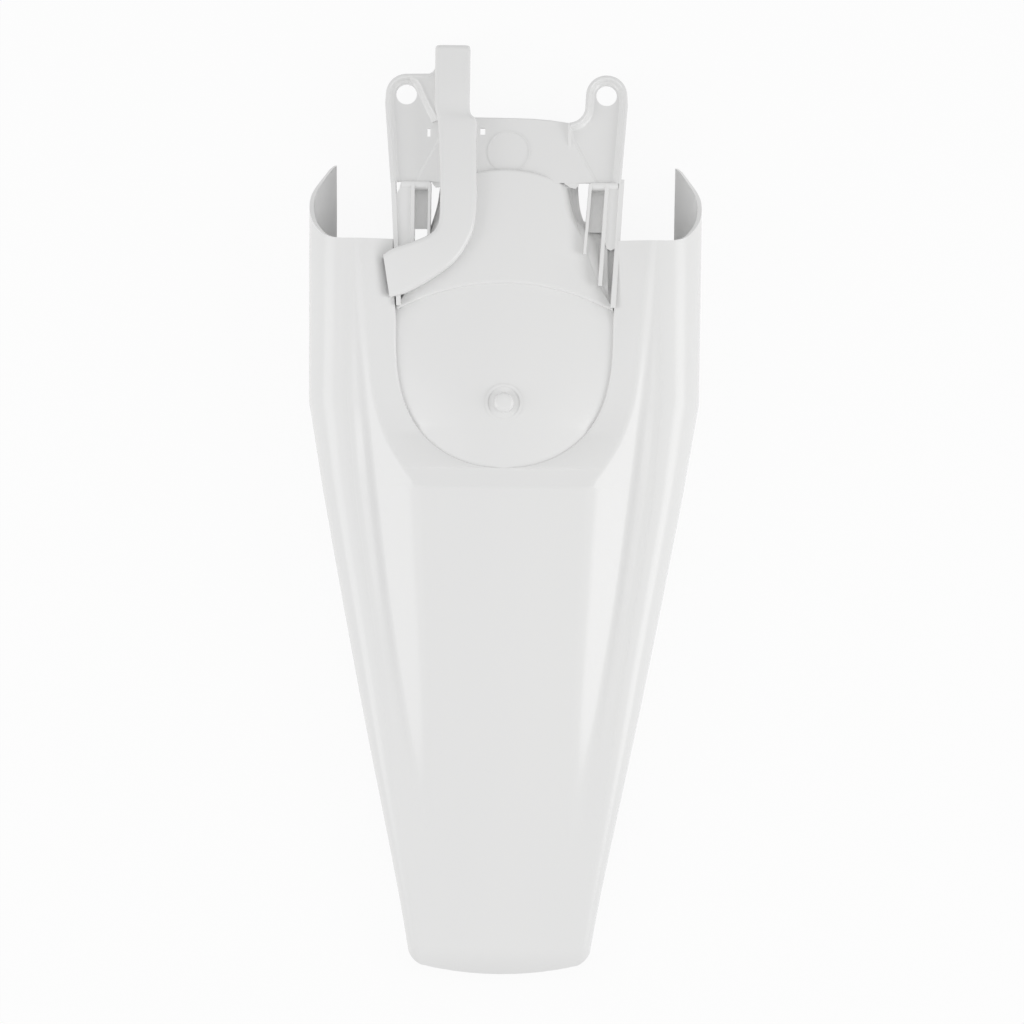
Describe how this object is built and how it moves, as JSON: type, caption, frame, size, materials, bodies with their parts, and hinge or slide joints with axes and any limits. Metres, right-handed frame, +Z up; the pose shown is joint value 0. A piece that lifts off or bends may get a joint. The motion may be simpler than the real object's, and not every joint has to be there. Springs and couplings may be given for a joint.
{
  "type": "motorcycle rear fender",
  "caption": "Rear fender for an off-road motorcycle: raised tapering deck, rolled side wings, wheel-arch well, mounting bracket with ears and a wiring channel.",
  "frame": {"origin": "midway between the two ear holes, at the height of the ear seats", "axes": "+X across the part to the plain side, +Y forwards from the tail to the ears, +Z up out of the deck; the wings' lower edges and the tail end share the plane z = -20 mm"},
  "size_m": [0.2612, 0.62, 0.0605],
  "materials": {
    "moulded_plastic": "moulded gloss white polypropylene, through-coloured"
  },
  "bodies": {
    "root": {"rear_fender": "moulded_plastic"}
  },
  "joints": []
}
